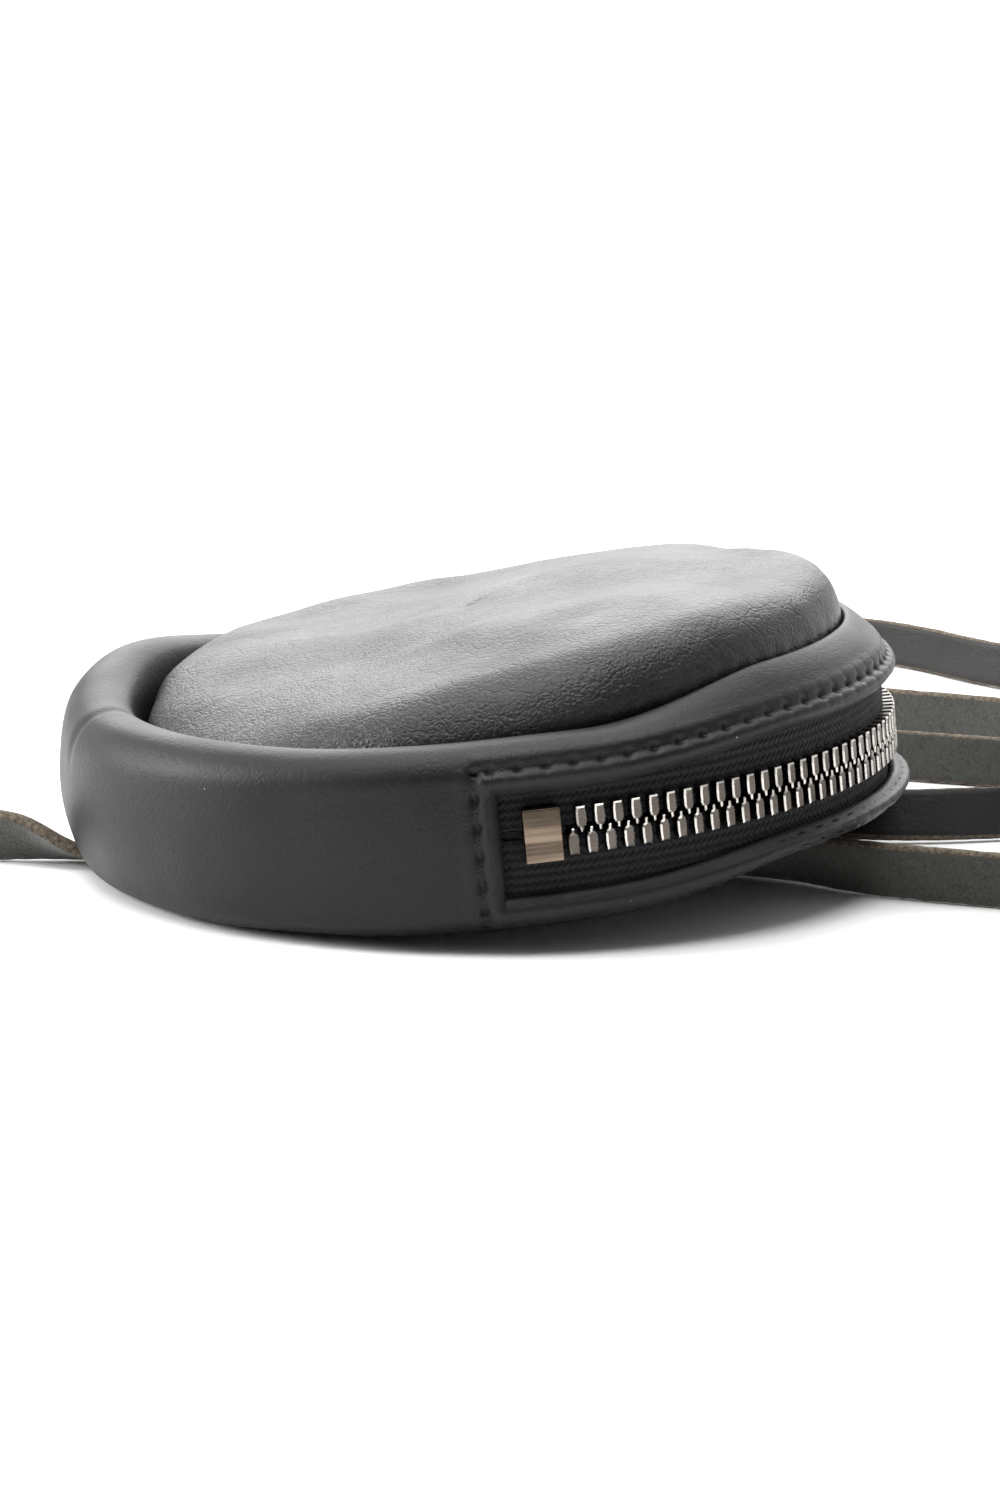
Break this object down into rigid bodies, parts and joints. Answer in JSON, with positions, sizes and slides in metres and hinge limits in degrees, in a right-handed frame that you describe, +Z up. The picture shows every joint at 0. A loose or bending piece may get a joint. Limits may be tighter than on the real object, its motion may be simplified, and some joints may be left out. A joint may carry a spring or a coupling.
{
  "type": "coin purse",
  "caption": "Small round leather coin purse with a curved metal zip in the right half of its side band and two long flat leather laces.",
  "frame": {"origin": "on the floor, under the middle of the purse, which lies on its face", "axes": "+X towards the middle of the zip, +Y to the rear, where the laces leave, +Z up"},
  "size_m": [0.1898, 0.2, 0.0345],
  "materials": {
    "face_leather": "matt, fine pebble grain",
    "band_leather": "matt, smooth",
    "lace_leather": "smooth on one side, fuzzy on the other",
    "zip_tape": "woven herringbone",
    "zip_metal": "dark nickel",
    "stop_metal": "brushed dark nickel",
    "slider_metal": "dark nickel",
    "thread": "twisted thread"
  },
  "bodies": {
    "pouch": {"bottom_panel": "face_leather", "top_panel": "face_leather", "top_panel_fold": "face_leather", "gusset_band": "band_leather", "gusset_fold": "band_leather", "lower_zip_tape": "zip_tape", "upper_tape_ends": "zip_tape", "upper_teeth_ends": "zip_metal", "lower_teeth": "zip_metal", "bottom_stop": "stop_metal", "top_stop_upper": "stop_metal", "top_stop_lower": "stop_metal", "window_stitches": "thread", "top_seam_thread": "thread", "bottom_seam_thread": "thread", "lace_tab": "lace_leather", "long_lace": "lace_leather", "short_lace": "lace_leather"},
    "flap": {"top_panel_flap": "face_leather", "gusset_flap": "band_leather", "upper_zip_tape": "zip_tape", "upper_teeth": "zip_metal", "flap_stitches": "thread", "top_seam_thread_flap": "thread"},
    "slider": {"slider_front": "slider_metal", "slider_back": "slider_metal", "slider_crown": "slider_metal"},
    "pull": {"pull_tab": "slider_metal"}
  },
  "joints": [
    {"name": "flap_hinge", "type": "hinge", "parent": "pouch", "child": "flap", "pos_m": [0.01988, 0, 0.01632], "axis": [0, -1, 0], "range_deg": [0, 25], "deforming": ["top_panel_fold", "gusset_fold"]},
    {"name": "slider_travel", "type": "hinge", "parent": "pouch", "child": "slider", "pos_m": [0, 0, 0.013], "axis": [-0.0906, 0, 0.9959], "range_deg": [-147, 0]},
    {"name": "pull_pivot", "type": "hinge", "parent": "slider", "child": "pull", "pos_m": [0.01442, 0.05015, 0.01431], "axis": [-0.0906, 0, 0.9959], "range_deg": [0, 150]}
  ]
}
